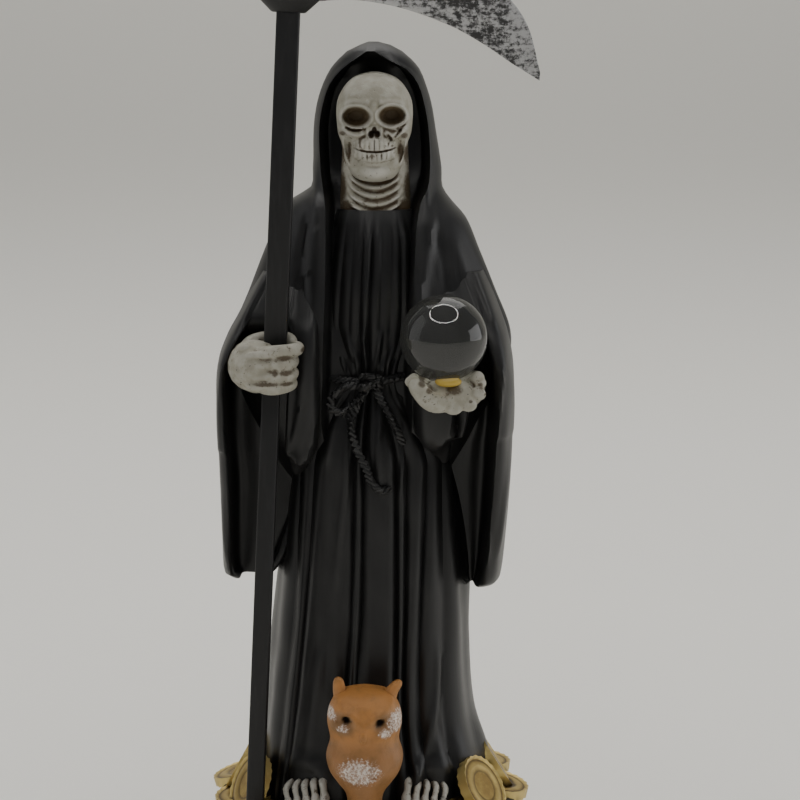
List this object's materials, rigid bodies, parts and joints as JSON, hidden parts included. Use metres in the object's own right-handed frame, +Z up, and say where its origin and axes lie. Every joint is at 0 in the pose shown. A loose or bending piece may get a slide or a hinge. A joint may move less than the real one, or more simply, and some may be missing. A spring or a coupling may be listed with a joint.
{
  "type": "santa muerte statue",
  "caption": "Hooded skeleton figurine with bell sleeves and rope belt, holding a scythe and a clear ball, an owl at its hem, on a low oval base strewn with coins.",
  "frame": {"origin": "on the base's flat underside, below the middle of the robe", "axes": "+Z up, the figure looks along -Y, its scythe hand is on the -X side"},
  "size_m": [0.094, 0.0938, 0.2583],
  "materials": {
    "painted_resin": "painted resin: satin black robe, bone skull, brown owl, gold coins",
    "black_plastic": "black with silver dry-brushing on the blade",
    "clear_glass": "clear, polished"
  },
  "bodies": {
    "root": {"figure": "painted_resin", "scythe": "black_plastic", "crystal_ball": "clear_glass"}
  },
  "joints": []
}
